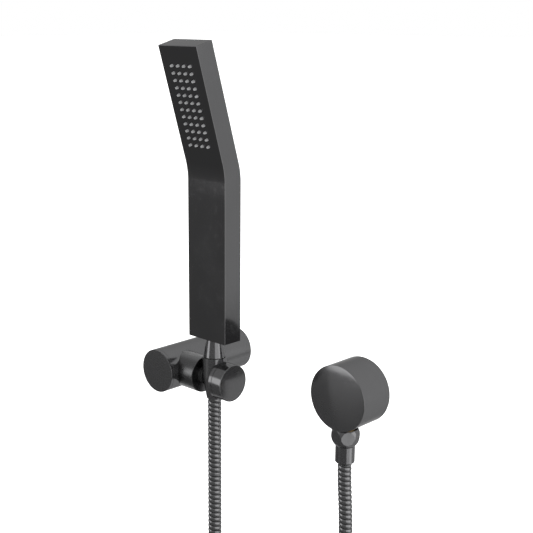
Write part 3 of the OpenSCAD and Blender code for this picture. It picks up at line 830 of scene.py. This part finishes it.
def hose_mesh(name, line, hose, start):
    """A ribbed tube along the line. start is the length of hose before it, which keeps the ribs in step."""
    radius, sides = hose.diameter / 2, hose.sides
    verts, uvs = [], []
    run = start
    side_way = Vector((1, 0, 0))
    for i, spot in enumerate(line):
        ahead = (line[min(i + 1, len(line) - 1)] - line[max(i - 1, 0)]).normalized()
        if i:
            run += (spot - line[i - 1]).length
        side_way = (side_way - ahead * side_way.dot(ahead)).normalized()
        other = ahead.cross(side_way)
        for j in range(sides):
            a = 2 * math.pi * j / sides
            phase = run / hose.rib_pitch + j / sides
            r = radius - hose.rib_depth * (1 - rib_height(phase))
            verts.append(spot + r * (math.cos(a) * side_way + math.sin(a) * other))
        uvs.append(run / hose.rib_pitch)
    faces = []
    for i in range(len(line) - 1):
        for j in range(sides):
            k = (j + 1) % sides
            faces.append((i * sides + j, i * sides + k, (i + 1) * sides + k, (i + 1) * sides + j))
    last = (len(line) - 1) * sides
    faces.append(tuple(range(sides - 1, -1, -1)))
    faces.append(tuple(last + j for j in range(sides)))
    mesh = bpy.data.meshes.new(name)
    mesh.from_pydata([tuple(v) for v in verts], [], faces)
    layer = mesh.uv_layers.new(name="UVMap")
    for face in mesh.polygons[:-2]:
        i, j = divmod(face.index, sides)
        corners = [(i, j), (i, j + 1), (i + 1, j + 1), (i + 1, j)]
        for loop, (row, col) in zip(face.loop_indices, corners):
            layer.data[loop].uv = (col / sides, uvs[row] + col / sides)
    obj = bpy.data.objects.new(name, mesh)
    bpy.context.scene.collection.objects.link(obj)
    activate(obj)
    bpy.ops.object.shade_smooth()
    mesh.materials.append(material_for("hose_metal"))
    return obj


def line_length(line):
    return sum((b - a).length for a, b in zip(line, line[1:]))


class SHOWER_OT_hose(bpy.types.Operator):
    """Builds the ribbed metal hose, its stored coil and the tie round it"""
    bl_idname = "shower.hose"
    bl_label = "Hose"

    def execute(self, context):
        hose = context.scene.shower_hose
        step = hose.rib_pitch / 8
        top = Vector((NECK_AXIS.x, NECK_AXIS.y, UPPER_Z))
        joint = Vector((NECK_AXIS.x, NECK_AXIS.y, JOINT_Z))
        upper_line = smooth_line([top, (top + joint) / 2, joint], step)
        upper = hose_mesh("hose_top", upper_line, hose, -top.z)
        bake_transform(upper)
        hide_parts("hose_upper")
        line_length(upper_line)
        upper_line[::4] + [upper_line[-1]]

        coil = CoilShape(hose)
        down = smooth_line(metres(HANDSET_LEG), step)
        up = smooth_line(metres(OUTLET_LEG), step)[::-1]
        line = down + coil.line(step)[1:] + up[1:]
        lower = hose_mesh("hose_run", line, hose, -joint.z)
        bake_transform(lower)
        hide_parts("hose_handset_leg", "hose_outlet_leg", "hose_coil")

        tie = self.tie(hose, coil)
        line_length(line)
        line[::4] + [line[-1]]
        return {"FINISHED"}

    def tie(self, hose, coil):
        """A rubber strap round the strands at the bottom of the coil."""
        wide = 12 * MM
        deep = hose.diameter + 3 * MM
        thick = coil.rise + hose.diameter + 2 * MM
        deselect()
        bpy.ops.mesh.primitive_cube_add(size=1, scale=(wide, thick, deep))
        tie = bpy.context.object
        tie.name = "hose_strap"
        bpy.ops.object.transform_apply(scale=True)
        edit(tie)
        pick(tie, "faces", lambda middle, face: abs(face.normal.x) > 0.9)
        bpy.ops.mesh.delete(type="FACE")
        pick(tie, "edges", lambda middle, edge: abs(edge.verts[0].co.x - edge.verts[1].co.x) > wide / 2)
        bpy.ops.mesh.bevel(offset=5.5 * MM, segments=6, profile=0.5)
        leave_edit()
        modify(tie, "SOLIDIFY", thickness=1.2 * MM, offset=-1)
        turn = Matrix((coil.across, coil.axis, Vector((0, 0, 1)))).transposed().to_4x4()
        place(tie, Matrix.Translation(coil.middle - Vector((0, 0, coil.radius))) @ turn)
        soften(tie, 0.3 * MM, segments=2)
        finish_piece(tie, "wall_fittings", "rubber_black", material_for("rubber_black"), "hose_tie")
        return tie


# ---------------------------------------------------------------- carried-over pieces

class SHOWER_OT_inner_pieces(bpy.types.Operator):
    """Gives the carried-over inner pieces their finishes"""
    bl_idname = "shower.inner_pieces"
    bl_label = "Inner pieces"

    def execute(self, context):
        for part in frame["record"]["subparts"]:
            node = frame["nodes"][part["node"]]
            node.data.materials.clear()
            node.data.materials.append(material_for(part["material_slot"]))
        return {"FINISHED"}


# ---------------------------------------------------------------- stage

class SHOWER_OT_stage(bpy.types.Operator):
    """Adds the pale floor, the soft studio light and the camera"""
    bl_idname = "shower.stage"
    bl_label = "Stage"

    def execute(self, context):
        scene = context.scene
        scene.view_settings.view_transform = "Standard"
        deselect()
        bpy.ops.mesh.primitive_plane_add(size=60, location=(0, 0, -0.55))
        floor = context.object
        floor.name = "stage_floor"
        material, board = new_material("Pale floor")
        cloud = board.noise(3.0)
        close_material(board, Base_Color=board.mix(cloud, (0.9, 0.9, 0.9, 1), (0.94, 0.94, 0.94, 1)), Roughness=0.9,
                       Emission_Color=(1, 1, 1, 1), Emission_Strength=0.8)
        floor.data.materials.append(material)
        floor.visible_glossy = False

        deselect()
        bpy.ops.object.light_add(type="AREA", location=(0.3, -0.6, 3.0))
        lamp = context.object
        lamp.name = "overhead"
        lamp.data.shape = "DISK"
        lamp.data.size = 4.0
        lamp.data.energy = 90
        lamp.visible_glossy = False

        self.world(scene)
        deselect()
        bpy.ops.object.camera_add(location=(0.7525, -0.7703, 0.3437),
                                  rotation=(math.radians(90 - 13.45), 0, math.radians(45)))
        camera = context.object
        camera.data.lens = 72.6
        camera.data.sensor_width = 36
        camera.data.shift_x = 0.0789
        camera.data.clip_end = 200
        scene.camera = camera
        return {"FINISHED"}

    def world(self, scene):
        """A studio seen in reflections: white wall side, dim room in front, a soft box at each side."""
        world = bpy.data.worlds.new("Studio")
        scene.world = world
        world.use_nodes = True
        board = Board(world.node_tree)
        way = board.node("ShaderNodeTexCoord", None, out="Generated")
        x = board.node("ShaderNodeSeparateXYZ", None, way, out="X")
        y = Link(board, x.socket.node.outputs["Y"])
        z = Link(board, x.socket.node.outputs["Z"])
        lean = y - x
        wall_side = y.step(-0.12, 0.2)
        room = z.step(-0.5, 0.45, 0.2, 0.5)
        side_edge = lean.step(-0.06, -0.01, -0.165, -0.07)
        left_box = ((x * -1).step(0.2, 0.35) * (y * -1).step(0.2, 0.35) * (z - side_edge).step(-0.008, 0.008)
                    * z.step(0.28, 0.36, 1.0, 0.0))
        left_glow = ((y * -1).step(0.2, 0.5) * (x * -1).step(0.2, 0.5) * lean.step(-0.1, -0.04, 1.0, 0.0)
                     * z.step(-0.56, -0.2))
        right_box = x.step(0.75, 0.8) * z.step(-0.47, -0.41) * z.step(0.35, 0.5, 1.0, 0.0)
        dim_patch = (z.step(-0.28, -0.25, 1.0, 0.0) * lean.step(-0.04, 0.0) * lean.step(0.08, 0.14, 1.0, 0.0)
                     * x.step(0.2, 0.4))
        strength = (room + wall_side * (0.94 - room) * (1 - dim_patch * 0.42) + left_glow * 0.28 + left_box * 1.8
                    + right_box * 1.3)
        seen = board.node("ShaderNodeLightPath", None, out="Is Camera Ray")
        glow = board.node("ShaderNodeBackground", None, (1, 1, 1, 1), strength)
        white = board.node("ShaderNodeBackground", None, (1, 1, 1, 1), 1.0)
        both = board.node("ShaderNodeMixShader", None, seen, glow, white)
        board.node("ShaderNodeOutputWorld", None, both)


# ---------------------------------------------------------------- panel and running

class SHOWER_PT_panel(bpy.types.Panel):
    """Lists the pieces and their sizes"""
    bl_idname = "SHOWER_PT_panel"
    bl_label = "Hand shower"
    bl_space_type = "VIEW_3D"
    bl_region_type = "UI"
    bl_category = "Shower"

    def draw(self, context):
        for group in (context.scene.shower_handset, context.scene.shower_hose, context.scene.shower_finish):
            box = self.layout.box()
            for name in group.__annotations__:
                box.prop(group, name)
        for operator in OPERATORS:
            self.layout.operator(operator.bl_idname)


GROUPS = {"shower_handset": ShowerHandset, "shower_hose": ShowerHose, "shower_finish": ShowerFinish}
OPERATORS = (SHOWER_OT_inner_pieces, SHOWER_OT_handset, SHOWER_OT_holder, SHOWER_OT_post, SHOWER_OT_outlet,
             SHOWER_OT_hose)
CLASSES = (*GROUPS.values(), SHOWER_OT_stage, *OPERATORS, SHOWER_PT_panel)


def register():
    for cls in CLASSES:
        bpy.utils.register_class(cls)
    for name, group in GROUPS.items():
        setattr(bpy.types.Scene, name, PointerProperty(type=group))


def unregister():
    for name in GROUPS:
        delattr(bpy.types.Scene, name)
    for cls in reversed(CLASSES):
        bpy.utils.unregister_class(cls)


def main():
    register()
    bpy.ops.shower.stage()
    bpy.ops.shower.inner_pieces()
    bpy.ops.shower.hose()
    bpy.ops.shower.handset()
    bpy.ops.shower.holder()
    bpy.ops.shower.post()
    bpy.ops.shower.outlet()


if __name__ == "__main__":
    main()
